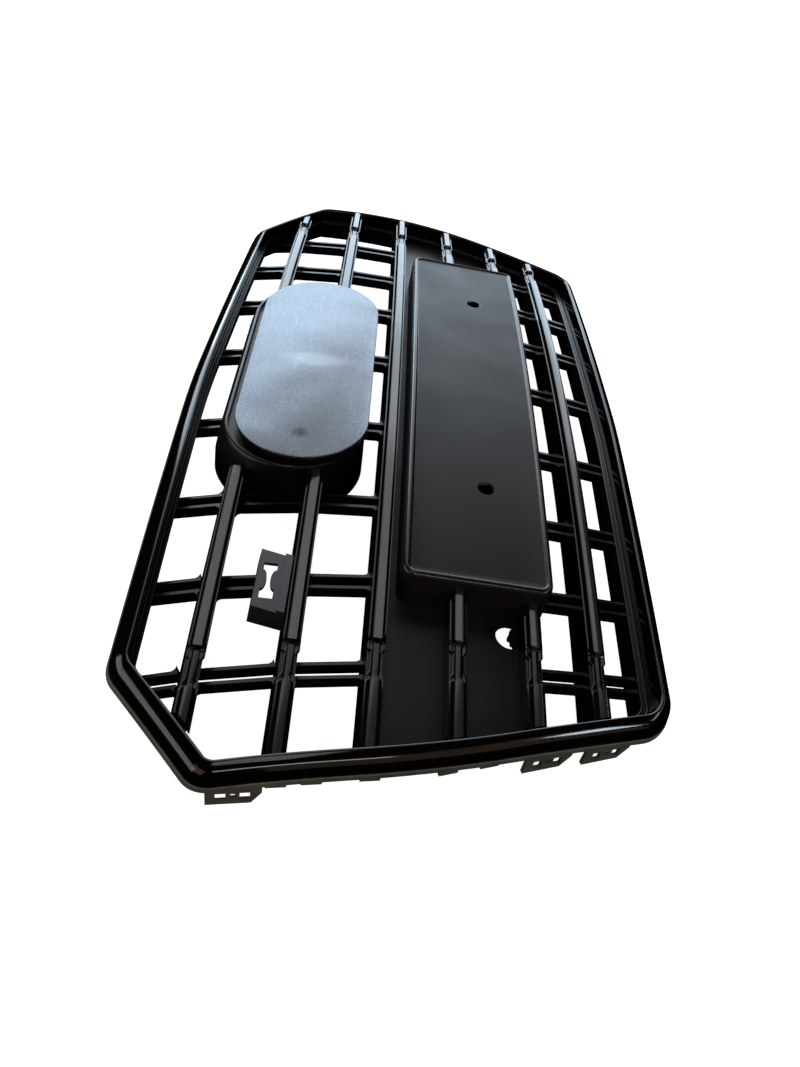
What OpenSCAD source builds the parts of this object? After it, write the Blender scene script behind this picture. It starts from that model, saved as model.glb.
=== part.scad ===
// Front grille: gloss surround, six-bar lattice, emblem base and number-plate plinth.
// Lies on its back, face up: X across the car, +Y towards the hood, +Z out of the face.

/* [Outline] */
// Half width at the upper side corners
half_w = 436; // [300:1:520]
// Half width where the sides bend
waist_w = 410; // [300:1:500]
// Half width at the foot of the tapering sides
half_w_foot = 349; // [240:1:480]
// Height of the outline above the centre
top_h = 218; // [150:1:300]
// Height of the outline below the centre
bottom_h = 212; // [150:1:300]
// Half width where the upper corner is cut off
cut_x = 350; // [240:1:460]
// How far down the side the cut corner reaches
cut_y = 133; // [60:1:190]
// Radius of the lower corners
foot_r = 36; // [10:1:90]

/* [Face curvature] */
// Radius of the bow across the car
bow_r = 4005; // [2500:50:12000]
// Fall of the face from centre to top and bottom edges
crown_drop = 23.7; // [0:0.1:45]
// Extra fall of the upper half
crown_skew = 6.75; // [0:0.05:15]
// Height of the face at the centre above the resting plane
face_h = 84; // [60:0.5:130]
// Lean of the surround walls from upright, degrees
wall_lean = 11; // [0:0.5:25]

/* [Bars] */
// Positions of the six bars up the face
bar_y = [154.4, 87.2, 25.1, -36.5, -96.5, -148.4]; // [-200:1:200]
// Lean of each web from upright, degrees
web_lean = [14, 10, 6.5, 5.5, 5, 5]; // [0:0.5:25]
// Depth of the webs below the crest
web_d = 38; // [20:0.5:60]
// Width of a web under its trim
web_w = 12; // [6:0.5:20]
// Width of a bright trim
trim_w = 14; // [8:0.5:24]
// Height of a bright trim
trim_h = 6; // [3:0.5:12]
// Half length of the raised crest at mid height
crest_x = 315; // [200:1:380]
// Length of the low saddle beyond the crest
saddle_l = 34; // [10:1:60]
// How far the outer bars curve to the middle at x = 300
bar_toe = 2.1; // [0:0.1:8]

/* [Rungs] */
// Distances of the slat pairs from the centre line
rung_x = [57.6, 159.6, 248.3, 329]; // [20:1:400]
// Fanning of the pairs up the face, per mm
rung_fan = 0.00039; // [0:0.00001:0.001]
// Gap between the middles of the two slats of a pair
rung_gap = 12.1; // [6:0.1:20]
// Thickness of a slat
rung_t = 3; // [1.5:0.1:6]
// Depth of the slat tops below the crest
rung_top = 20.7; // [5:0.1:40]
// Height of a slat
rung_h = 10.5; // [4:0.5:25]

/* [Number-plate plinth] */
// Length of the plinth
plinth_l = 530; // [300:1:560]
// Width of the plinth
plinth_w = 120; // [80:1:160]
// Height of its middle above the crest
plinth_h = 14.1; // [5:0.1:40]
// Position of the plinth up the face
plinth_y = -49; // [-150:1:60]
// Tilt of the plinth, degrees
plinth_tilt = 2.2; // [0:0.1:8]
// Radius of its own bow
plinth_r = 2740; // [1500:10:6000]
// Distance of the plate screw holes from the centre
plate_hole_x = 158.5; // [60:1:240]
// Offset of the plate screw holes below the middle of the plinth
plate_hole_y = 8; // [-30:0.5:30]
// Diameter of the plate screw holes
plate_hole_d = 13; // [4:0.5:14]

/* [Emblem seat] */
// Length of the cover plate
cover_l = 305; // [150:1:360]
// Width of the cover plate
cover_w = 118; // [80:1:160]
// Position of the emblem seat up the face
emblem_y = 106.5; // [60:0.5:140]
// Height of the cover above the face centre
cover_h = 8; // [-10:0.5:30]
// Tilt of the cover plate, degrees
cover_tilt = -2; // [-12:0.5:8]

/* [Rear fixings] */
// Diameter of the screw holes in the tab ends
tab_hole_d = 6.5; // [4:0.5:9]
// Diameter of the sensor opening in the back panel
sensor_d = 22; // [12:0.5:30]
// Offset that centres the whole part over the origin
centre_y = -8.663; // [-20:0.001:20]
// Offset that rests the lowest tab on z = 0
rest_z = -12.005; // [-60:0.001:40]

/* [Hidden] */
$fn = 64;
black = [0.05, 0.05, 0.055];
matte = [0.16, 0.15, 0.145];
olive = [0.28, 0.28, 0.25];
satin = [0.36, 0.37, 0.39];
half_h = (top_h + bottom_h) / 2;
mid_y = (top_h - bottom_h) / 2;
lean_t = tan(wall_lean);

function crown(y) = let (t = (y - mid_y) / half_h)
  crown_drop * t * t + crown_skew * (t * t * t - t);
function bow(x) = bow_r - sqrt(bow_r * bow_r - x * x);
function face(x, y) = face_h - crown(y) - bow(x);
function fan(x, y) = x * (1 + rung_fan * y);

// places a sub-part on the resting plane in its colour
module part(tint) { color(tint) translate([0, centre_y, rest_z]) children(); }

// closed outline as rounded corners [x, y, radius, steps]
function corners() = [
  [0, top_h + 3, 1500, 4],
  [cut_x, top_h - 7, 30, 6], [half_w, cut_y, 22, 6], [waist_w, -20, 800, 3],
  [half_w_foot, 8 - bottom_h, foot_r, 9], [0, 2 - bottom_h, 1500, 4],
  [-half_w_foot, 8 - bottom_h, foot_r, 9], [-waist_w, -20, 800, 3],
  [-half_w, cut_y, 22, 6], [-cut_x, top_h - 7, 30, 6]];

function unit(v) = v / norm(v);
function left_of(v) = [-v[1], v[0]];
function rounded(P) = [for (i = [0:len(P) - 1])
  let (n = len(P), B = [P[i][0], P[i][1]], q = P[(i + n - 1) % n], k = P[(i + 1) % n],
    u = unit([q[0], q[1]] - B), w = unit([k[0], k[1]] - B), half = acos(u * w) / 2,
    r = P[i][2], m = P[i][3], c = B + unit(u + w) * r / sin(half),
    s = B + u * r / tan(half) - c, e = B + w * r / tan(half) - c,
    a0 = atan2(s[1], s[0]), da = (atan2(e[1], e[0]) - a0 + 540) % 360 - 180)
  for (j = [0:m]) c + r * [cos(a0 + da * j / m), sin(a0 + da * j / m)]];
function spaced(P, step) = [for (i = [0:len(P) - 1])
  let (a = P[i], b = P[(i + 1) % len(P)], m = ceil(norm(b - a) / step))
  for (j = [0:m - 1]) a + (b - a) * j / m];
path = spaced(rounded(corners()), 34);
count = len(path);
out_dir = [for (i = [0:count - 1])
  let (a = unit(path[i] - path[(i + count - 1) % count]),
    b = unit(path[(i + 1) % count] - path[i]), m = unit(a + b)) left_of(m) / (m * b)];

// sweeps a section of [outward, height above crest] points round the outline
module ring(sec) {
  m = len(sec);
  pts = [for (i = [0:count - 1]) for (s = sec)
    let (p = path[i] + out_dir[i] * s[0]) [p[0], p[1] - lean_t * s[1], face(p[0], p[1]) + s[1]]];
  polyhedron(pts, [for (i = [0:count - 1]) for (j = [0:m - 1])
    let (a = i * m + j, b = i * m + (j + 1) % m, c = ((i + 1) % count) * m + (j + 1) % m,
      d = ((i + 1) % count) * m + j) each [[a, b, c], [a, c, d]]], convexity = 10);
}

// leaning block inside the surround, its walls parallel to the surround walls
module inside(off) {
  c = cos(wall_lean);
  ref = [for (i = [0:count - 1]) let (p = path[i] + out_dir[i] * off)
    [p[0], (p[1] - lean_t * (face_h - face(p[0], p[1]))) * c]];
  translate([0, 0, face_h]) rotate([wall_lean, 0, 0])
    translate([0, 0, -200]) linear_extrude(400) polygon(ref);
}

// turns a 2D section about an axis along Y, between two stations across the car
module bowed(r, x0, x1) {
  rotate([90, 0, 0]) rotate([0, 0, 90 - asin(x1 / r)])
    rotate_extrude(angle = asin(x1 / r) - asin(x0 / r), $fn = 1440) children();
}

function toe(y) = -bar_toe * (y - 48) / 104;
function sag(y) = norm([bow(300), toe(y)]);
function bar_r(y) = (90000 + sag(y) * sag(y)) / (2 * sag(y));

// one bar section [across, height] carried along bar i from x0 to x1
module along_bar(i, sec, x0, x1) {
  y = bar_y[i];
  a = atan2(toe(y), bow(300));
  r = bar_r(y);
  translate([0, y, face_h - crown(y)]) rotate([a, 0, 0]) translate([0, 0, -r])
    bowed(r, x0, x1) polygon([for (p = sec)
      [r - p[0] * sin(a) + p[1] * cos(a), -p[0] * cos(a) - p[1] * sin(a)]]);
}

function web_sec(i, g = 0) = let (t = tan(web_lean[i]), h = web_d - trim_h)
  [[1 - web_w / 2 - g, -trim_h], [1 + web_w / 2 + g, -trim_h],
   [web_w / 2 + t * h + g, -web_d - g], [2 - web_w / 2 + t * h - g, -web_d - g]];

module web_body(i) { along_bar(i, web_sec(i), -430, 430); }

module emblem_frame() {
  translate([0, emblem_y, face_h + cover_h]) rotate([cover_tilt, 0, 0]) children();
}
module stadium(l, w, h) {
  linear_extrude(h) union() {
    square([l - w, w], center = true);
    for (s = [-1, 1]) translate([s * (l - w) / 2, 0]) circle(d = w, $fn = 96);
  }
}
module base_block(g) {
  emblem_frame() translate([0, 11, -58]) stadium(cover_l + 17 + 2 * g, cover_w + 17 + 2 * g, 50);
}

module plinth_frame() {
  translate([0, plinth_y, face(0, plinth_y) + plinth_h]) rotate([plinth_tilt, 0, 0]) children();
}
module rounded_block(l, w, r, z0, z1) {
  translate([0, 0, z0]) linear_extrude(z1 - z0) union() {
    square([l - 2 * r, w], center = true);
    square([l, w - 2 * r], center = true);
    for (i = [-1, 1], j = [-1, 1]) translate([i * (l / 2 - r), j * (w / 2 - r)]) circle(r);
  }
}
// rounded block whose top and bottom follow the bow of the plinth
module plinth_slab(grow, z0, z1) {
  intersection() {
    rounded_block(plinth_l + 2 * grow, plinth_w + 2 * grow, 11 + grow, z0 - 30, 20);
    translate([0, 0, -plinth_r]) bowed(plinth_r, -290, 290) translate([plinth_r + z0, -90])
      square([z1 - z0, 180]);
  }
}
panel_ys = [36, 10, -15, -42, -70, -98, -125];
// band that follows the face between two depths, over the height of the back panel
module panel_band(d0, d1) {
  translate([0, 0, face_h - bow_r]) bowed(bow_r, -430, 430) polygon(concat(
    [for (y = panel_ys) [bow_r - crown(y) - d0, -y]],
    [for (k = [len(panel_ys) - 1:-1:0]) [bow_r - crown(panel_ys[k]) - d1, -panel_ys[k]]]));
}
module plinth_room() {
  difference() {
    plinth_frame() rounded_block(plinth_l + 0.4, plinth_w + 0.4, 11.2, -70, 40);
    panel_band(24, 90);
  }
}

module surround_trim() {
  part(black) ring([[0, -17], [0, -12], [-0.5, -9], [-1.8, -5.6], [-4, -2.8], [-7, -1], [-10.2, 0],
    [-11.8, -0.5], [-12.7, -2.3], [-13.9, -17], [-11.4, -17], [-10.4, -4], [-5.4, -6], [-3.2, -11], [-2.8, -17]]);
}

module carrier_frame() {
  part(olive) ring([[0.3, -13.5], [1.2, -14], [1.6, -18.5], [-8, -24], [-15, -38], [-19.5, -38],
    [-19.5, -17.2], [0.3, -17.2]]);
}

module web(i) {
  part(matte) difference() {
    intersection() { web_body(i); inside(-19.5); }
    if (i < 2) base_block(0);
    if (i == 3 || i == 4) plinth_room();
  }
}

module web_1() { web(0); }
module web_2() { web(1); }
module web_3() { web(2); }
module web_4() { web(3); }
module web_5() { web(4); }
module web_6() { web(5); }

module trim(i) {
  y = bar_y[i];
  x1 = fan(crest_x, y);
  x2 = x1 + saddle_l;
  w = trim_w / 2;
  part(black) difference() {
    intersection() {
      union() {
        difference() {
          along_bar(i, [[-w, -trim_h], [w, -trim_h], [w, -4.2], [4, 0], [-4, 0], [-w, -4.2]], -x1, x1);
          for (s = [-1, 1]) translate([s * x1, y, face(x1, y)])
            for (k = [-1, 1]) rotate([0, 0, k * 130 + (s > 0 ? 0 : 180)])
              translate([-12, k > 0 ? -20 : 0, -3.4]) cube([34, 20, 20]);
        }
        for (s = [-1, 1]) {
          along_bar(i, [[-w + 2.5, -trim_h], [w - 2, -trim_h], [w - 3.5, -3.2], [-w + 4.5, -3.2]],
            s > 0 ? x1 - 8 : -x2 - 1, s > 0 ? x2 + 1 : 8 - x1);
          along_bar(i, [[-w, -trim_h], [w, -trim_h], [w - 1, -2.8], [3, -0.8], [-3, -0.8], [1 - w, -2.8]],
            s > 0 ? x2 : -425, s > 0 ? 425 : -x2);
        }
      }
      inside(-14.2);
    }
    if (i < 2) base_block(0.3);
    if (i == 3 || i == 4) plinth_room();
  }
}
module trim_1() { trim(0); }
module trim_2() { trim(1); }
module trim_3() { trim(2); }
module trim_4() { trim(3); }
module trim_5() { trim(4); }
module trim_6() { trim(5); }

// pair of slats between two heights up the face, with filleted outer corners
module slat_pair(x, ya, yb) {
  xa = fan(x, ya);
  xb = fan(x, yb);
  za = face(xa, ya) - rung_top;
  zb = face(xb, yb) - rung_top;
  l = norm([xb - xa, yb - ya]);
  o = rung_gap / 2;
  translate([xa, ya, za]) rotate([atan2(zb - za, l), 0, -atan2(xb - xa, yb - ya)])
    translate([0, 0, -rung_h]) linear_extrude(rung_h) {
      for (s = [-1, 1]) {
        translate([s * o - rung_t / 2, -1]) square([rung_t, l + 2]);
        for (e = [0, 1]) translate([s * (o + rung_t / 2 - 0.1), e * l]) difference() {
          translate([s > 0 ? 0 : -5, e > 0 ? -5 : 0]) square([5, 5]);
          translate([s * 5, e > 0 ? -5 : 5]) circle(5);
        }
      }
    }
}

module rung_row(y0, y1, webs) {
  part(matte) difference() {
    intersection() {
      for (s = [-1, 1], x = rung_x) slat_pair(s * x, y0, y1);
      inside(-19.5);
    }
    for (i = webs) web_body(i);
    if (y1 > 60) base_block(0);
    if (webs == [0, 1]) translate([-309, 80, 20]) cube([65, 41, 60]);
  }
}
function web_top(i) = bar_y[i] + web_w / 2 + 1 + tan(web_lean[i]) * (rung_top - trim_h);
function web_foot(i) = bar_y[i] - web_w / 2 + 1 + tan(web_lean[i]) * (rung_top - trim_h);
module rungs_top() { rung_row(web_top(0), top_h, [0]); }
module rungs_upper() { rung_row(web_top(1), web_foot(0), [0, 1]); }
module rungs_middle() { rung_row(web_top(2), web_foot(1), [1, 2]); }
module rungs_lower() { rung_row(web_top(5), web_foot(4), [4, 5]); }
module rungs_foot() { rung_row(-bottom_h - 2, web_foot(5), [5]); }

sensor_x = -282;
sensor_y = -79;
module back_panel() {
  part(matte) difference() {
    intersection() { panel_band(24, 27); inside(-19.5); }
    for (i = [2, 3, 4]) web_body(i);
    translate([-450, bar_y[2], -20]) cube([900, 60, 200]);
    translate([-450, bar_y[4] - 70, -20]) cube([900, 70, 200]);
    translate([sensor_x, sensor_y, 0]) cylinder(d = sensor_d, h = 120);
  }
}

// frame whose XY plane lies on the face at (x, y), sunk by a depth
module on_face(x, y, depth) {
  translate([x, y, face(x, y) - depth])
    rotate([atan((face(x, y + 1) - face(x, y - 1)) / 2), -atan((face(x + 1, y) - face(x - 1, y)) / 2), 0])
      children();
}
module sensor_holder() {
  part(matte) on_face(sensor_x, sensor_y, 43.05) {
    difference() {
      cylinder(r = sensor_d / 2 + 3.5, h = 16);
      translate([0, 0, -1]) cylinder(r = sensor_d / 2 + 0.5, h = 20);
      translate([-30, -3, -1]) cube([60, 40, 30]);
    }
    translate([0, 0, 11]) difference() {
      cylinder(r = sensor_d / 2 + 1, h = 4);
      translate([-30, -1, -1]) cube([60, 30, 9]);
      translate([-7, -1, -1]) cylinder(r = 5, h = 9);
    }
  }
}

module plate_plinth() {
  part(black) difference() {
    plinth_frame() difference() {
      union() { plinth_slab(0, -75, -2.2); plinth_slab(-1.4, -4, -0.8); plinth_slab(-2.4, -4, 0); }
      plinth_slab(-3, -90, -5);
      plinth_slab(-5.4, -1.6, 12);
    }
    for (s = [-1, 1]) translate([s * plate_hole_x, plinth_y - plate_hole_y, 0]) cylinder(d = plate_hole_d, h = 140);
    panel_band(24, 120);
    for (y = [60, -260]) translate([-450, y > 0 ? 36 : y, -20]) cube([900, y > 0 ? 60 : 135, 60]);
  }
}

module emblem_base() {
  part(black) difference() {
    base_block(0);
    emblem_frame() translate([0, 11, -70]) stadium(cover_l + 11, cover_w + 11, 58.5);
  }
}
module emblem_rim() {
  part(black) emblem_frame() translate([0, 1, -8]) difference() {
    stadium(cover_l - 6, cover_w - 5, 5);
    translate([0, 0, -1]) stadium(cover_l - 16, cover_w - 15, 8);
  }
}
module emblem_cover() {
  part(satin) emblem_frame() translate([0, 0, -3]) stadium(cover_l, cover_w, 3);
}

// open clip on the upper side of the second bar
module badge_clip() {
  z = face(-276, 108);
  part(matte) difference() {
    translate([-276, 108, z - 18]) union() {
      linear_extrude(17, scale = [0.95, 0.82]) polygon([[-34, -15], [28, -15], [34, 14.5], [-28, 14.5]]);
      translate([0, 0, 10]) linear_extrude(8.6) polygon([[-31.2, -13], [27.5, -13], [28.6, -7], [-30.2, -7]]);
    }
    // window through the face plate, narrowed by a lobe on each side
    translate([-276, 108, z - 5]) difference() {
      translate([-18, -2.5, 0]) cube([36, 10.5, 9]);
      for (k = [0, 1]) translate([1, -2.5 + k * 10.5, -1]) scale([1, 0.38, 1]) cylinder(r = 10, h = 11, $fn = 48);
    }
    // hollow behind the face plate, open below and at the far end
    translate([-300, 99, z - 20]) cube([70, 18.5, 16]);
    web_body(1);
    along_bar(1, [[-20, -trim_h], [trim_w / 2 + 0.6, -trim_h], [trim_w / 2 + 0.6, 9], [-20, 9]], -430, 430);
    base_block(0.5);
  }
}

// lower edge of the carrier skirt at height y on side s
function skirt_x(y) = y > -20 ? waist_w + (y + 20) * (half_w - waist_w) / (cut_y + 20)
  : waist_w - (-20 - y) * (waist_w - half_w_foot) / (bottom_h - 28);

module side_tabs() {
  part(olive) for (s = [-1, 1], y = [106, -110, -157]) {
    x = skirt_x(y);
    slope = y > 0 ? 9.6 : 18.3;
    translate([s * (x - 1), y + 5, face(x, y) - 40]) rotate([0, 0, -s * slope]) difference() {
      translate([s > 0 ? -3 : 0, 0, 0]) rotate([90, 0, 90]) linear_extrude(3) difference() {
        polygon([[18, 0], [-12, 0], [-19, 12], [-19, 20.5], [18, 20.5]]);
        for (k = [-1, 1]) translate([k * 8 - 3.4, 3.5]) square([6.8, 9.5]);
      }
      translate([0, 0, 9]) rotate([0, 90, 0]) cylinder(d = tab_hole_d, h = 20, center = true);
    }
  }
}

module snap_lugs() {
  part(olive) for (s = [-1, 1], y = [79, 56, 17.5, -36, -65.5]) {
    x = skirt_x(y);
    w = 14;
    translate([s * (x - 2), y + 5, face(x, y) - 27]) rotate([0, 0, -s * (y > -20 ? 9.6 : 18.3)])
      translate([s > 0 ? -4 : 0, -w / 2, 0]) cube([4, w, 7]);
  }
}

surround_trim();
carrier_frame();
web_1();
web_2();
web_3();
web_4();
web_5();
web_6();
trim_1();
trim_2();
trim_3();
trim_4();
trim_5();
trim_6();
rungs_top();
rungs_upper();
rungs_middle();
rungs_lower();
rungs_foot();
back_panel();
sensor_holder();
plate_plinth();
emblem_base();
emblem_rim();
emblem_cover();
badge_clip();
side_tabs();
snap_lugs();
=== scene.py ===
import bpy, bmesh, math
from mathutils import Matrix, Vector


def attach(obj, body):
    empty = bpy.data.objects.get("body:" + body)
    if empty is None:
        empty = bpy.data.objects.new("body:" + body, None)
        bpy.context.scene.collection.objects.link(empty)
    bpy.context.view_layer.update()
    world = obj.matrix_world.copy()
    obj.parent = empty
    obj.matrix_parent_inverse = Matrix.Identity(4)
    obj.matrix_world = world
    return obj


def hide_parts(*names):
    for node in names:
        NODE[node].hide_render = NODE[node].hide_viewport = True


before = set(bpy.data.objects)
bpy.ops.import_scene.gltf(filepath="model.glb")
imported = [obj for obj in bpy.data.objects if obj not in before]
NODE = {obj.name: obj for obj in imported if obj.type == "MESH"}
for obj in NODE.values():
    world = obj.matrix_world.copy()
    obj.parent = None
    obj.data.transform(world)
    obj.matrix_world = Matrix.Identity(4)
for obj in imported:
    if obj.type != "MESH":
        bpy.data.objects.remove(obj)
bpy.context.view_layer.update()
scene = bpy.context.scene

# ---------------------------------------------------- the shape of the part, in millimetres
MM = 1000                                # millimetres in a metre
CY, CZ = -8.663, -12.005                 # centres the part over the origin, resting on z = 0
# radius of the bow across the car, drop and skew of the profile, height of the face
BOW_R, DROP, SKEW, FACE_H = 4005.0, 23.7, 6.75, 84.0
MID_Y, HALF_H = 3, 215                   # middle and half height of the profile
LEAN = math.tan(math.radians(11))        # the walls lean towards the hood as they go down
BAR_Y = [154.4, 87.2, 25.1, -36.5, -96.5, -148.4]
CREST_X, SADDLE = 315.0, 34.0            # end of the crest, length of the low saddle after it
TOE, FAN = 2.1, 0.00039                  # sideways bend of the bars, fanning of the columns
TOE_X = 300                              # station where the bend is measured
SHARP = 35                               # angle that counts as an edge, degrees


def crown(y):
    t = (y - MID_Y) / HALF_H
    return DROP * t * t + SKEW * (t ** 3 - t)


def bow(x):
    return BOW_R - math.sqrt(BOW_R * BOW_R - x * x)


def face(x, y):
    """height of the face of the grille"""
    return FACE_H - crown(y) - bow(x)


def toe(y):
    """how far a bar has bent sideways at TOE_X"""
    return -TOE * (y - 48) / 104


def metres(x, y, z):
    return (x / MM, (y + CY) / MM, (z + CZ) / MM)


def part_point(c):
    """a point of a finished mesh, back in the millimetres of the part"""
    return c.x * MM, c.y * MM - CY, c.z * MM - CZ


def unit(v):
    n = math.hypot(*v)
    return (v[0] / n, v[1] / n)


# corners of the outline: x, y, radius, steps
CORNERS = [(0, 221, 1500, 10), (350, 211, 30, 14), (436, 133, 22, 14), (410, -20, 800, 8),
           (349, -204, 36, 20), (0, -210, 1500, 10), (-349, -204, 36, 20), (-410, -20, 800, 8),
           (-436, 133, 22, 14), (-350, 211, 30, 14)]


def rounded(P):
    """a closed outline with its corners as arcs"""
    out = []
    n = len(P)
    for i in range(n):
        x, y, r, m = P[i]
        u = unit((P[i - 1][0] - x, P[i - 1][1] - y))
        w = unit((P[(i + 1) % n][0] - x, P[(i + 1) % n][1] - y))
        half = math.acos(u[0] * w[0] + u[1] * w[1]) / 2
        c = unit((u[0] + w[0], u[1] + w[1]))
        cx, cy = x + c[0] * r / math.sin(half), y + c[1] * r / math.sin(half)
        t = r / math.tan(half)
        a0 = math.atan2(y + u[1] * t - cy, x + u[0] * t - cx)
        a1 = math.atan2(y + w[1] * t - cy, x + w[0] * t - cx)
        da = (a1 - a0 + 3 * math.pi) % (2 * math.pi) - math.pi
        out += [(cx + r * math.cos(a0 + da * j / m), cy + r * math.sin(a0 + da * j / m))
                for j in range(m + 1)]
    return out


def spaced(P, step):
    """the same outline with points no further apart than step"""
    out = []
    for i, a in enumerate(P):
        b = P[(i + 1) % len(P)]
        m = max(1, math.ceil(math.hypot(b[0] - a[0], b[1] - a[1]) / step))
        out += [(a[0] + (b[0] - a[0]) * j / m, a[1] + (b[1] - a[1]) * j / m)
                for j in range(m)]
    return out


def outward(P):
    """mitred outward direction at every point of an outline"""
    out = []
    n = len(P)
    for i in range(n):
        a = unit((P[i][0] - P[i - 1][0], P[i][1] - P[i - 1][1]))
        b = unit((P[(i + 1) % n][0] - P[i][0], P[(i + 1) % n][1] - P[i][1]))
        m = unit((a[0] + b[0], a[1] + b[1]))
        k = m[0] * b[0] + m[1] * b[1]
        out.append((-m[1] / k, m[0] / k))
    return out


STEP = 12                                # furthest apart two points of the outline may be
PATH = spaced(rounded(CORNERS), STEP)
OUT = outward(PATH)


# ---------------------------------------------------- mesh helpers
def make(name, verts, faces, sharp=SHARP):
    me = bpy.data.meshes.new(name)
    me.from_pydata([metres(*v) for v in verts], [], faces)
    bm = bmesh.new()
    bm.from_mesh(me)
    bmesh.ops.remove_doubles(bm, verts=bm.verts, dist=1e-6)
    bmesh.ops.dissolve_degenerate(bm, edges=bm.edges, dist=1e-6)
    bmesh.ops.recalc_face_normals(bm, faces=bm.faces)
    bm.to_mesh(me)
    bm.free()
    me.shade_smooth()
    me.set_sharp_from_angle(angle=math.radians(sharp))
    ob = bpy.data.objects.new(name, me)
    scene.collection.objects.link(ob)
    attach(ob, "root")
    return ob


def merged(parts):
    verts, faces = [], []
    for v, f in parts:
        n = len(verts)
        verts += v
        faces += [tuple(i + n for i in q) for q in f]
    return verts, faces


def tube(rings, closed=True):
    """quads between rings of equal length; closed joins the last ring to the first"""
    m = len(rings[0])
    verts = [p for r in rings for p in r]
    faces = []
    n = len(rings)
    for i in range(n if closed else n - 1):
        for j in range(m):
            a, b = i * m + j, i * m + (j + 1) % m
            c, d = ((i + 1) % n) * m + (j + 1) % m, ((i + 1) % n) * m + j
            faces.append((a, b, c, d))
    if not closed:
        faces += [tuple(range(m))[::-1], tuple((n - 1) * m + j for j in range(m))]
    return verts, faces


def stack(loops, cap_top=True, cap_bottom=False):
    """closed loops one above the other, with a skin between them"""
    m = len(loops[0])
    verts = [v for r in loops for v in r]
    faces = []
    for i in range(len(loops) - 1):
        for j in range(m):
            k = (j + 1) % m
            faces.append((i * m + j, i * m + k, (i + 1) * m + k, (i + 1) * m + j))
    if cap_top:
        faces.append(tuple((len(loops) - 1) * m + j for j in range(m)))
    if cap_bottom:
        faces.append(tuple(range(m))[::-1])
    return verts, faces


def soften(sec, r, n=3):
    """rounds every corner of a closed 2D section by about r"""
    out = []
    for i, b in enumerate(sec):
        a, c = sec[i - 1], sec[(i + 1) % len(sec)]
        la = math.hypot(a[0] - b[0], a[1] - b[1])
        lc = math.hypot(c[0] - b[0], c[1] - b[1])
        t = min(r, la * 0.45, lc * 0.45)
        p = (b[0] + (a[0] - b[0]) * t / la, b[1] + (a[1] - b[1]) * t / la)
        q = (b[0] + (c[0] - b[0]) * t / lc, b[1] + (c[1] - b[1]) * t / lc)
        for k in range(n + 1):
            s = k / n
            out.append(tuple((1 - s) ** 2 * p[d] + 2 * s * (1 - s) * b[d] + s * s * q[d]
                             for d in (0, 1)))
    return out


def ring(name, sec, r):
    """a section of [outward, height above the face] points carried round the outline"""
    sec = soften(sec, r)
    rings = []
    for p, o in zip(PATH, OUT):
        row = []
        for s in sec:
            x, y = p[0] + o[0] * s[0], p[1] + o[1] * s[0]
            row.append((x, y - LEAN * s[1], face(x, y) + s[1]))
        rings.append(row)
    return make(name, *tube(rings), sharp=40)


def sag(y):
    return math.hypot(bow(TOE_X), toe(y))


def bar_pt(i, x, p0, p1):
    """point across (p0, +Y) and above (p1) bar i at station x"""
    y = BAR_Y[i]
    a = math.atan2(toe(y), bow(TOE_X))
    r = (TOE_X ** 2 + sag(y) ** 2) / (2 * sag(y))
    ca, sa = math.cos(a), math.sin(a)
    ph = math.asin(x / r)
    rho, yy = r - p0 * sa + p1 * ca, p0 * ca + p1 * sa
    zz = rho * math.cos(ph) - r
    return (rho * math.sin(ph), y + yy * ca - zz * sa, FACE_H - crown(y) + yy * sa + zz * ca)


def wall_x(y, h, off):
    """half width of the outline, moved by off, at height y"""
    y = y + LEAN * h
    best = 0
    P = [(p[0] + o[0] * off, p[1] + o[1] * off) for p, o in zip(PATH, OUT)]
    for a, b in zip(P, P[1:] + P[:1]):
        if (a[1] - y) * (b[1] - y) <= 0 and a[1] != b[1]:
            best = max(best, a[0] + (b[0] - a[0]) * (y - a[1]) / (b[1] - a[1]))
    return best


# ---------------------------------------------------- materials
def noise(nt, vector, scale, detail, rough=0.5):
    n = nt.nodes.new("ShaderNodeTexNoise")
    n.inputs["Scale"].default_value = scale
    n.inputs["Detail"].default_value = detail
    n.inputs["Roughness"].default_value = rough
    nt.links.new(vector, n.inputs["Vector"])
    return n.outputs["Fac"]


def ramp(nt, value, stops):
    """two stops of (position, colour)"""
    n = nt.nodes.new("ShaderNodeValToRGB")
    for element, (position, color) in zip(n.color_ramp.elements, stops):
        element.position = position
        element.color = (*color, 1)
    nt.links.new(value, n.inputs["Fac"])
    return n.outputs["Color"]


def remap(nt, value, from_range, to_range):
    n = nt.nodes.new("ShaderNodeMapRange")
    n.inputs["From Min"].default_value, n.inputs["From Max"].default_value = from_range
    n.inputs["To Min"].default_value, n.inputs["To Max"].default_value = to_range
    nt.links.new(value, n.inputs["Value"])
    return n.outputs["Result"]


def relief(nt, height, strength, distance):
    n = nt.nodes.new("ShaderNodeBump")
    n.inputs["Strength"].default_value = strength
    n.inputs["Distance"].default_value = distance
    nt.links.new(height, n.inputs["Height"])
    return n


def times(nt, value, factor):
    n = nt.nodes.new("ShaderNodeMath")
    n.operation = "MULTIPLY"
    n.inputs[1].default_value = factor
    nt.links.new(value, n.inputs[0])
    return n.outputs[0]


def paint(nt, amount, under, color):
    """lays a colour over the one below by the given amount"""
    n = nt.nodes.new("ShaderNodeMixRGB")
    n.inputs[2].default_value = (*color, 1)
    nt.links.new(amount, n.inputs[0])
    nt.links.new(under, n.inputs[1])
    return n.outputs[0]


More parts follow.
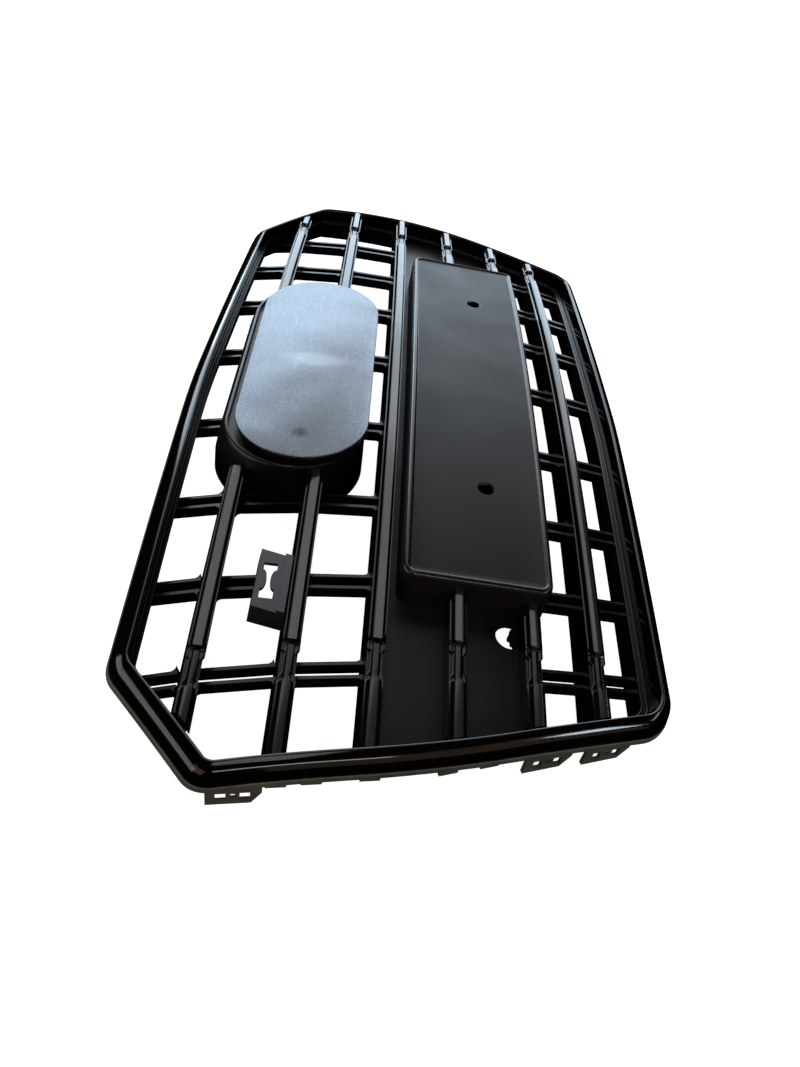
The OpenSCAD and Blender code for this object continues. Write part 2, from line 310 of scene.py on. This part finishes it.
def node_mat(name, base, rough, metal=0.0, vary=0.25, scale=40.0, bump=0.02, grain=900.0,
             spec=0.5, rvary=0.12, tint=None):
    """cloudy colour and gloss over a fine grain; tint is the colour of the lighter clouds"""
    m = bpy.data.materials.new(name)
    m.use_nodes = True
    nt = m.node_tree
    b = nt.nodes["Principled BSDF"]
    place = nt.nodes.new("ShaderNodeTexCoord").outputs["Object"]
    low = [c * (1 - vary) for c in base]
    high = [c * (1 + vary) for c in (tint or base)]
    clouds = noise(nt, place, scale, 4.0, 0.55)
    nt.links.new(ramp(nt, clouds, ((0.3, low), (0.72, high))), b.inputs["Base Color"])
    sheen = noise(nt, place, scale * 2.7, 6.0, 0.6)
    limits = (max(0.02, rough - rvary / 2), min(1, rough + rvary / 2))
    nt.links.new(remap(nt, sheen, (0.3, 0.7), limits), b.inputs["Roughness"])
    fine = relief(nt, noise(nt, place, grain, 2.0, 0.55), bump, 0.0004)
    nt.links.new(fine.outputs["Normal"], b.inputs["Normal"])
    b.inputs["Metallic"].default_value = metal
    b.inputs["Specular IOR Level"].default_value = spec
    return m


M = dict(
    gloss=node_mat("gloss_surround", (0.0024, 0.0019, 0.0017), 0.09, vary=0.2, scale=14,
                   bump=0.012, grain=260, spec=0.5, rvary=0.03, tint=(0.0034, 0.0024, 0.0019)),
    carrier=node_mat("carrier", (0.13, 0.127, 0.10), 0.5, vary=0.3, scale=30, bump=0.3,
                     grain=1500, spec=0.4),
    web=node_mat("lattice", (0.0060, 0.0050, 0.0050), 0.24, vary=0.3, scale=18, bump=0.012,
                 grain=700, spec=0.5, rvary=0.05, tint=(0.0052, 0.0040, 0.0036)),
    trim=node_mat("bar_trim", (0.0030, 0.0027, 0.0027), 0.12, vary=0.2, scale=20, bump=0.01,
                  grain=300, spec=0.5, rvary=0.04),
    # the crest flat: a lighter copy of the trim, a painted highlight where the crest catches the
    # light
    crest=node_mat("bar_crest_painted_highlight", (0.022, 0.0215, 0.023), 0.15, vary=0.15, scale=20, bump=0.012,
                   grain=300, spec=1.0, rvary=0.05),
    panel=node_mat("panel", (0.0105, 0.0078, 0.0066), 0.42, vary=0.25, scale=8, bump=0.06,
                   grain=1400, spec=0.3, tint=(0.0082, 0.006, 0.0052)),
    plinth=node_mat("plinth", (0.0100, 0.0080, 0.0075), 0.45, vary=0.15, scale=6, bump=0.05,
                    grain=1600, spec=0.23),
    plinth_edge=node_mat("plinth_edge", (0.0100, 0.0080, 0.0075), 0.2, vary=0.15, scale=6,
                         bump=0.02, grain=900, spec=0.5, rvary=0.05),
    base=node_mat("emblem_seat", (0.0035, 0.0031, 0.003), 0.3, vary=0.2, scale=12, bump=0.04,
                  grain=900, spec=0.4),
    clip=node_mat("badge_clip", (0.016, 0.017, 0.022), 0.38, vary=0.2, scale=30, bump=0.06,
                  grain=1200, spec=0.5),
)


def cover_mat():
    """satin metal sheet with a dark mark, straight scratches and one pale painted reflection"""
    m = node_mat("cover", (0.172, 0.200, 0.236), 0.29, metal=0.8, vary=0.2, scale=520, bump=0.5,
                 grain=700, rvary=0.1, spec=0.5)
    nt = m.node_tree
    b = nt.nodes["Principled BSDF"]
    place = nt.nodes.new("ShaderNodeTexCoord").outputs["Object"]

    def near(cx, cy, r, soft, kx=1.0, ky=1.0):
        """1 within r of a place on the sheet, fading to 0 over soft"""
        squeezed = nt.nodes.new("ShaderNodeVectorMath")
        squeezed.operation = "MULTIPLY"
        squeezed.inputs[1].default_value = (kx, ky, 0)
        nt.links.new(place, squeezed.inputs[0])
        away = nt.nodes.new("ShaderNodeVectorMath")
        away.operation = "DISTANCE"
        away.inputs[1].default_value = (cx * kx, cy * ky, 0.0)
        nt.links.new(squeezed.outputs[0], away.inputs[0])
        return remap(nt, away.outputs["Value"], (r, r + soft), (1, 0))

    color = b.inputs["Base Color"].links[0].from_socket
    mark = times(nt, near(-0.1195, 0.0976, 0.003, 0.006), 0.6)
    color = paint(nt, mark, color, (0.02, 0.021, 0.024))
    stretched = nt.nodes.new("ShaderNodeMapping")
    stretched.inputs["Rotation"].default_value = (0, 0, 0.5)
    stretched.inputs["Scale"].default_value = (30, 900, 1)
    nt.links.new(place, stretched.inputs["Vector"])
    lines = noise(nt, stretched.outputs[0], 1.0, 2)
    scratches = ramp(nt, lines, ((0.66, (0, 0, 0)), (0.74, (0.5, 0.5, 0.5))))
    color = paint(nt, scratches, color, (0.42, 0.45, 0.5))
    # a pale curved band painted lighter across the middle of the sheet: a painted reflection
    painted_reflection = times(nt, near(-0.002, 0.0951, 0.0035, 0.0045, 0.6, 0.2), 0.2)
    color = paint(nt, painted_reflection, color, (0.55, 0.60, 0.66))
    nt.links.new(color, b.inputs["Base Color"])
    # the sheet is not quite flat: long shallow waves bend its reflection
    fine = b.inputs["Normal"].links[0].from_node
    waves = relief(nt, noise(nt, place, 15, 1), 0.5, 0.006)
    nt.links.new(waves.outputs["Normal"], fine.inputs["Normal"])
    return m


M["cover"] = cover_mat()


def dress(ob, mat):
    ob.data.materials.clear()
    ob.data.materials.append(M[mat])


def bevel(ob, width, segments=2):
    b = ob.modifiers.new("edge", "BEVEL")
    b.width = width / MM
    b.segments = segments
    b.limit_method = "ANGLE"
    b.angle_limit = math.radians(SHARP)
    b.harden_normals = False
    b.use_clamp_overlap = True


# ---------------------------------------------------- surround and carrier
SURROUND = [(0, -17), (0, -12), (-0.5, -9), (-1.8, -5.6), (-4, -2.8), (-7, -1), (-10.2, 0),
            (-11.8, -0.5), (-12.7, -2.3), (-13.9, -17), (-11.4, -17), (-10.4, -4), (-5.4, -6),
            (-3.2, -11), (-2.8, -17)]
surround = ring("surround", SURROUND, 1.3)
dress(surround, "gloss")
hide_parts("surround_trim")

CARRIER = [(0.3, -13.5), (1.1, -14), (1.3, -15), (1.6, -18.4), (0.5, -19.2), (-8, -24),
           (-15, -38), (-19.5, -38), (-19.5, -17.2), (-14.6, -17.2), (-14.3, -16.4),
           (-13.9, -17.2), (0.3, -17.2)]
carrier = ring("carrier", CARRIER, 0.7)
dress(carrier, "carrier")
carrier.data.materials.append(M["web"])

# the skirt is grained olive; the walls inside the opening are as black as the bars
SKIRT = 9                                # width of the grained skirt
EDGE = [(p[0] - o[0] * SKIRT, p[1] - o[1] * SKIRT) for p, o in zip(PATH, OUT)]


def inside(x, y):
    hit = False
    for a, b in zip(EDGE, EDGE[1:] + EDGE[:1]):
        if (a[1] > y) != (b[1] > y):
            if x < a[0] + (b[0] - a[0]) * (y - a[1]) / (b[1] - a[1]):
                hit = not hit
    return hit


for q in carrier.data.polygons:
    x, y, z = part_point(q.center)
    h = z - face(x, y)
    q.material_index = 1 if inside(x, y + LEAN * h) else 0
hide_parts("carrier_frame")


# ---------------------------------------------------- bright trims on the bars
END = 430                                # no bar reaches further out
TRIM_HALF = 7.5                          # half width the two points are drawn over
FOOT_SIDE = 0.84                         # share of the width on the side towards the foot
CREST_POINT, CREST_REACH = 3.6, 26       # the crest ends in a point facing outward
RISE_POINT, RISE_REACH = 3.0, 16         # the rise after the saddle has one facing inward
EMBLEM_REACH, PLINTH_REACH = 150, 264.6  # where a trim starts at the emblem and the plinth
# round end of the emblem base: centre, radius, and how far a trim runs into it
SEAT_X, SEAT_Y, SEAT_R, SEAT_SINK = 93.5, 117.5, 67.5, 5
# stations beyond the end of the crest, close together where the section changes
STATIONS = [-0.001, 0.4, 0.8, 1.2, 1.6, 4, 7.5, 8.5, 9.5, 10.5, 11.5, 18] + \
    [SADDLE + t for t in (-7.5, -6, -4.5, -3, -1, 0.6, 1.2, 1.8, 2.4, 3.3)]


def smooth(t):
    t = min(1, max(0, t))
    return t * t * (3 - 2 * t)


def trim_section(t):
    """half section [across, height] at distance t beyond the end of the crest"""
    if t <= 0:
        k, wide = 1.0, 1.0
    else:
        k = 1 - smooth(t / 1.6)
        wide = 1 - smooth((t - 8) / 3.0)
    wide = max(wide, smooth((t - SADDLE + 7) / 6.0))
    up = smooth((t - SADDLE - 1) / 2.2)
    w = 5.1 + 2.2 * wide
    c = 3.7 * k + (1 - k) * (2.2 + 0.9 * up)
    top = -3.5 + 3.5 * k + 2.9 * up
    sh = -4.6 - 0.5 * (1 - k) * (1 - up)
    return [(w, -6), (w, sh), (w - 0.25, sh + 0.3), (w - 1.35, sh + 0.42), (w - 1.8, sh + 0.9),
            (c + 0.9, top - 1.0), (c + 0.25, top - 0.25), (c - 0.5, top)]


def point_shift(t, across):
    """how far a place across the trim slides outward, to draw the two points"""
    middle = 1 - abs(across) / TRIM_HALF
    if t >= SADDLE - 10:
        return -RISE_POINT * middle * smooth(1 - abs(t - SADDLE - 2) / RISE_REACH)
    if t > -30:
        return CREST_POINT * middle * smooth(1 - abs(t - 0.8) / CREST_REACH)
    return 0


def trim(i):
    """one closed shape, or one on each side of the emblem or the plinth; ends at the wall"""
    y = BAR_Y[i]
    x1 = CREST_X * (1 + FAN * y)
    ends = max(wall_x(y + d, -4, -13.2) for d in (-8, 8)) + 2.5
    blocked = EMBLEM_REACH if i < 2 else PLINTH_REACH if i in (3, 4) else None
    start = blocked or 0
    xs = [start + (x1 - start) * k / 40 for k in range(40)] + [x1 + t for t in STATIONS]
    last = xs[-1]
    xs += [last + (ends - last) * k / 12 for k in range(1, 13)]
    sides = []
    for s in (1, -1):
        rings = []
        for x in xs:
            half = trim_section(x - x1)
            row = []
            for p0, p1 in half + [(-a * FOOT_SIDE, b) for a, b in half[::-1]]:
                xx = x + point_shift(x - x1, p0)
                if i < 2:        # the end follows the round end of the emblem base
                    yy = y + p0 - SEAT_Y
                    xx = max(xx, SEAT_X + math.sqrt(max(0, SEAT_R ** 2 - yy * yy)) - SEAT_SINK)
                xx = min(xx, wall_x(y + p0, p1, -13.4) + 1.5)
                row.append(bar_pt(i, s * xx, p0, p1))
            rings.append(row)
        sides.append(rings)
    if blocked is None:
        return [tube(sides[1][:0:-1] + sides[0], closed=False)]
    return [tube(rings, closed=False) for rings in sides]


for i in range(len(BAR_Y)):
    ob = make("trim_%d" % (i + 1), *merged(trim(i)), 28)
    dress(ob, "trim")
    ob.data.materials.append(M["crest"])
    for q in ob.data.polygons:       # the flat of the crest is painted lighter: a painted highlight where it catches the light
        x, y, z = part_point(q.center)
        top = bar_pt(i, max(-END, min(END, x)), 0, 0)
        if abs(y - top[1]) < 2.6 and z - top[2] > -1.2 and q.normal.z > 0.9:
            q.material_index = 1
    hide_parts("trim_%d" % (i + 1))

# ---------------------------------------------------- pieces shown straight from the CAD
for n, o in NODE.items():
    if n.startswith("web"):
        dress(o, "web")
        bevel(o, 0.6)
    elif n.startswith("rungs"):      # thin slats keep a fine edge
        dress(o, "web")
        bevel(o, 0.2, 1)
    elif n in ("back_panel", "sensor_holder", "badge_clip"):
        dress(o, "clip" if n == "badge_clip" else "panel")
        if n != "back_panel":
            bevel(o, 0.7)
    elif n in ("side_tabs", "snap_lugs"):
        dress(o, "carrier")
        bevel(o, 0.5)


# ---------------------------------------------------- number-plate plinth
# length, width, height over the face, place, tilt and radius of its bow
PL, PW, PH, PY, PT, PR = 530.0, 120.0, 14.1, -49.0, math.radians(2.2), 2740.0
CORNER = 11                              # radius of the plinth corners
LONG, SHORT, ARC, ROWS = 48, 4, 8, 6     # steps along a long side, a short side, a corner, across
HOLE_X, HOLE_Y, HOLE_R, SINK_R = 158.5, -8, 6.5, 7.8     # screw holes and their countersinks
# from the foot of the wall over the raised rim to the plate: [outward, height]
RIM = [(0, -40), (0, -4.2), (-0.35, -2.6), (-1.2, -1.2), (-2.2, -0.38), (-3.3, -0.05),
       (-4.4, -0.3), (-5.0, -0.9), (-5.5, -1.5), (-6.2, -1.75)]


def plinth_place(x, y, z):
    z = z - (PR - math.sqrt(PR * PR - x * x))
    return (x, PY + y * math.cos(PT) - z * math.sin(PT),
            face(0, PY) + PH + y * math.sin(PT) + z * math.cos(PT))


def plinth_loop(grow, z):
    l, w, r = PL + 2 * grow, PW + 2 * grow, max(CORNER + grow, 3)
    hx, hy = l / 2 - r, w / 2 - r
    out = []
    # each side from one corner to the next, and then the corner after it
    for x0, y0, x1, y1, n, sx, sy, turn in (
            (hx, w / 2, -hx, w / 2, LONG, -1, 1, 0.5), (-l / 2, hy, -l / 2, -hy, SHORT, -1, -1, 1),
            (-hx, -w / 2, hx, -w / 2, LONG, 1, -1, 1.5), (l / 2, -hy, l / 2, hy, SHORT, 1, 1, 0)):
        out += [(x0 + (x1 - x0) * k / n, y0 + (y1 - y0) * k / n, z) for k in range(n + 1)]
        for k in range(1, ARC):
            a = math.pi * turn + math.pi / 2 * k / ARC
            out.append((sx * hx + r * math.cos(a), sy * hy + r * math.sin(a), z))
    return out


def plinth_mesh():
    rings = [plinth_loop(a, z) for a, z in RIM]
    verts, faces = stack(rings, cap_top=False)
    m = len(rings[0])
    b = (len(rings) - 1) * m
    edge = rings[-1]
    low = LONG + 1 + (ARC - 1) + (SHORT + 1) + (ARC - 1)     # first point of the lower long side
    # top skin: strips from the upper long side to the lower one
    grid = []
    for k in range(LONG + 1):
        p, q = edge[k], edge[low + LONG - k]
        col = [b + k]
        for t in range(1, ROWS):
            verts.append((p[0] + (q[0] - p[0]) * t / ROWS, p[1] + (q[1] - p[1]) * t / ROWS, p[2]))
            col.append(len(verts) - 1)
        col.append(b + low + LONG - k)
        grid.append(col)
    for k in range(LONG):
        for t in range(ROWS):
            faces.append((grid[k][t], grid[k + 1][t], grid[k + 1][t + 1], grid[k][t + 1]))
    left = [b + LONG + j for j in range(low - LONG + 1)]
    faces.append(tuple(left + grid[LONG][-2:0:-1]))
    right = [b + (low + LONG + j) % m for j in range(m - low - LONG + 1)]
    faces.append(tuple(right + grid[0][1:-1]))
    return [plinth_place(*v) for v in verts], faces


def cut(ob, parts):
    """takes closed shapes out of a piece and keeps the result as plain mesh"""
    verts, faces = merged(parts)
    me = bpy.data.meshes.new("cutter")
    me.from_pydata([metres(*v) for v in verts], [], faces)
    bm = bmesh.new()
    bm.from_mesh(me)
    bmesh.ops.recalc_face_normals(bm, faces=bm.faces)
    bm.to_mesh(me)
    bm.free()
    c = bpy.data.objects.new("cutter", me)
    scene.collection.objects.link(c)
    mod = ob.modifiers.new("cut", "BOOLEAN")
    mod.operation = "DIFFERENCE"
    mod.solver = "EXACT"
    mod.object = c
    dg = bpy.context.evaluated_depsgraph_get()
    new = bpy.data.meshes.new_from_object(ob.evaluated_get(dg))
    if len(new.polygons) < len(ob.data.polygons):
        raise RuntimeError("the cut lost " + ob.name)
    ob.modifiers.clear()
    old = ob.data
    ob.data = new
    bpy.data.meshes.remove(old)
    bpy.data.objects.remove(c)
    ob.data.shade_smooth()
    ob.data.set_sharp_from_angle(angle=math.radians(SHARP))


def hole(x, y, levels, steps=40):
    """a closed round cutter with a radius for each height"""
    turns = [2 * math.pi * n / steps for n in range(steps)]
    return stack([[(x + r * math.cos(a), y + r * math.sin(a), z) for a in turns]
                  for r, z in levels], True, True)


plinth = make("plinth", *plinth_mesh())
wall = plinth.modifiers.new("wall", "SOLIDIFY")
wall.thickness = 2.8 / MM
wall.offset = -1
mid_z = face(0, PY) + PH
hole_z = plinth_place(HOLE_X, HOLE_Y, 0)[2]
cut(plinth, [hole(k * HOLE_X, PY + HOLE_Y, ((HOLE_R, mid_z - 60), (HOLE_R, hole_z - 3.0),
                                            (SINK_R, hole_z - 1.5), (SINK_R, mid_z + 30)))
             for k in (-1, 1)])
dress(plinth, "plinth")
plinth.data.materials.append(M["plinth_edge"])
for q in plinth.data.polygons:       # the rolled rim is smoother than the plate
    if 0.12 < q.normal.z < 0.985 and q.area < 4e-5:
        q.material_index = 1
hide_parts("plate_plinth")

# ---------------------------------------------------- emblem seat
# place, height over the face, and tilt of the cover
EMBLEM_Y, COVER_H, ET = 106.5, 8, math.radians(-2)


def emblem_place(x, y, z):
    return (x, EMBLEM_Y + y * math.cos(ET) - z * math.sin(ET),
            FACE_H + COVER_H + y * math.sin(ET) + z * math.cos(ET))


def stadium_loop(l, w, n=32):
    r = w / 2
    return [(side * (l / 2 - r) + r * math.cos(a), r * math.sin(a))
            for side, first in ((1, -math.pi / 2), (-1, math.pi / 2))
            for a in [first + math.pi * k / n for k in range(n + 1)]]


def seat(levels):
    """stadium loops of [length, width, height, shift towards the hood]"""
    return [[emblem_place(x, y + d, z) for x, y in stadium_loop(l, w)] for l, w, z, d in levels]


BASE = [(316, 129, -57.9, 11), (321, 134, -57.9, 11), (322, 135, -56.6, 11), (321, 134, -40, 10.4),
        (317, 130, -22, 8.6), (313.5, 126.5, -13, 6.8), (312.5, 125.5, -10.8, 6.2),
        (311, 124, -9.4, 5.9), (309, 122, -8.9, 5.8), (306.5, 119.5, -8.9, 5.8),
        (305.6, 118.6, -9.8, 5.8), (305, 118, -12.5, 5.8), (20, 10, -12.5, 5.8)]
base = make("emblem_base", *stack(seat(BASE)))
dress(base, "base")
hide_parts("emblem_base")

SEAT_RIM = [(299, 112, -12.4, 1), (299, 112, -4.6, 1), (298, 111, -3.4, 1),
            (296, 109, -3.05, 1), (289, 102, -3.05, 1), (289, 102, -8, 1)]
rim = make("emblem_rim", *stack(seat(SEAT_RIM), cap_top=False))
dress(rim, "base")
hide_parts("emblem_rim")

COVER = [(303.5, 116.5, -3, 0), (304.6, 117.6, -2.4, 0), (305, 118, -1.5, 0),
         (304.8, 117.8, -0.7, 0), (304, 117, -0.2, 0), (302.6, 115.6, 0, 0)]
cover = make("emblem_cover", *stack(seat(COVER), cap_bottom=True))
dress(cover, "cover")
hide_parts("emblem_cover")

# ---------------------------------------------------- floor, lights, camera
FLOOR, PALE = 20, 0.95                   # half size in metres, brightness of floor and backdrop
me = bpy.data.meshes.new("floor")
me.from_pydata([(-FLOOR, -FLOOR, 0), (FLOOR, -FLOOR, 0), (FLOOR, FLOOR, 0), (-FLOOR, FLOOR, 0)],
               [], [(0, 1, 2, 3)])
floor = bpy.data.objects.new("floor", me)
scene.collection.objects.link(floor)
fm = bpy.data.materials.new("floor")
fm.use_nodes = True
fb = fm.node_tree.nodes["Principled BSDF"]
fb.inputs["Base Color"].default_value = (0.9, 0.9, 0.9, 1)
fb.inputs["Roughness"].default_value = 0.9
fb.inputs["Specular IOR Level"].default_value = 0.0
fb.inputs["Emission Color"].default_value = (1, 1, 1, 1)
fb.inputs["Emission Strength"].default_value = PALE
me.materials.append(fm)
# seen by the camera only, so that the black gloss doesn't mirror a bright ground
floor.visible_glossy = False
floor.visible_diffuse = False

world = bpy.data.worlds.new("studio")
scene.world = world
world.use_nodes = True
world.node_tree.nodes["Background"].inputs[0].default_value = (1.0, 1.0, 1.0, 1)
world.node_tree.nodes["Background"].inputs[1].default_value = PALE
world.cycles_visibility.glossy = False
world.cycles_visibility.diffuse = False


def area(name, pos, target, size, size_y, power, color=(1, 1, 1)):
    l = bpy.data.lights.new(name, "AREA")
    l.shape = "RECTANGLE"
    l.size, l.size_y = size, size_y
    l.energy = power
    l.color = color
    ob = bpy.data.objects.new(name, l)
    scene.collection.objects.link(ob)
    ob.location = pos
    ob.rotation_euler = (Vector(target) - Vector(pos)).to_track_quat("-Z", "Y").to_euler()


# one tall graded window behind the far end, and small fills: place, target, size, watts, colour
area("window", (3.0, 0.5, 0.9), (0, 0, 0.08), 4.4, 1.15, 64, (0.70, 0.86, 1.0))
area("window_high", (2.5, 0.4, 1.75), (0, 0, 0.08), 4.0, 0.9, 26, (0.88, 0.94, 1.0))
area("sky", (1.6, 0.3, 2.5), (0, 0, 0.08), 3.0, 1.4, 13, (1.0, 0.96, 0.93))
area("overhead", (-0.9, 0.4, 3.0), (0, 0, 0), 1.2, 1.2, 8)
area("left_low", (-0.5, 2.4, 0.45), (-0.3, 0.2, 0.04), 2.4, 0.9, 12, (0.93, 1.0, 0.92))
area("right", (0.2, -2.4, 1.5), (0, 0, 0.05), 2.0, 0.14, 5, (1.0, 0.9, 0.8))
area("warm", (-1.7, -0.9, 0.70), (-0.35, -0.1, 0.05), 1.9, 1.3, 2.6, (1.0, 0.72, 0.54))
area("warm_left", (-1.3, 1.3, 0.60), (-0.4, 0.15, 0.05), 1.0, 0.8, 2.2, (1.0, 0.62, 0.46))
area("left_far", (3.2, 1.7, 0.45), (0.2, 0.2, 0.06), 0.8, 0.25, 6, (0.72, 0.98, 1.0))
area("front", (-1.7, -0.1, 1.15), (-0.3, 0, 0.05), 1.1, 0.16, 3.6, (1.0, 0.98, 0.96))
area("glint", (-1.0, -1.3, 0.8), (-0.35, -0.19, 0.05), 0.25, 0.25, 3, (0.7, 0.88, 1.0))

# the camera: directions of its right, down and forward axes, and its place in metres
RIGHT = (0.027997, -0.98931, 0.143115)
DOWN = (-0.685352, -0.12322, -0.717711)
AHEAD = (0.727674, -0.07799, -0.681475)
EYE = (-0.721881, 0.059410, 0.540023)
cam = bpy.data.cameras.new("camera")
cam.sensor_width = 36
cam.lens = 29.265267
cam.clip_start = 0.01
camera = bpy.data.objects.new("camera", cam)
scene.collection.objects.link(camera)
camera.matrix_world = Matrix([(RIGHT[k], -DOWN[k], -AHEAD[k], EYE[k]) for k in range(3)]
                             + [(0, 0, 0, 1)])
scene.camera = camera
scene.view_settings.view_transform = "Standard"
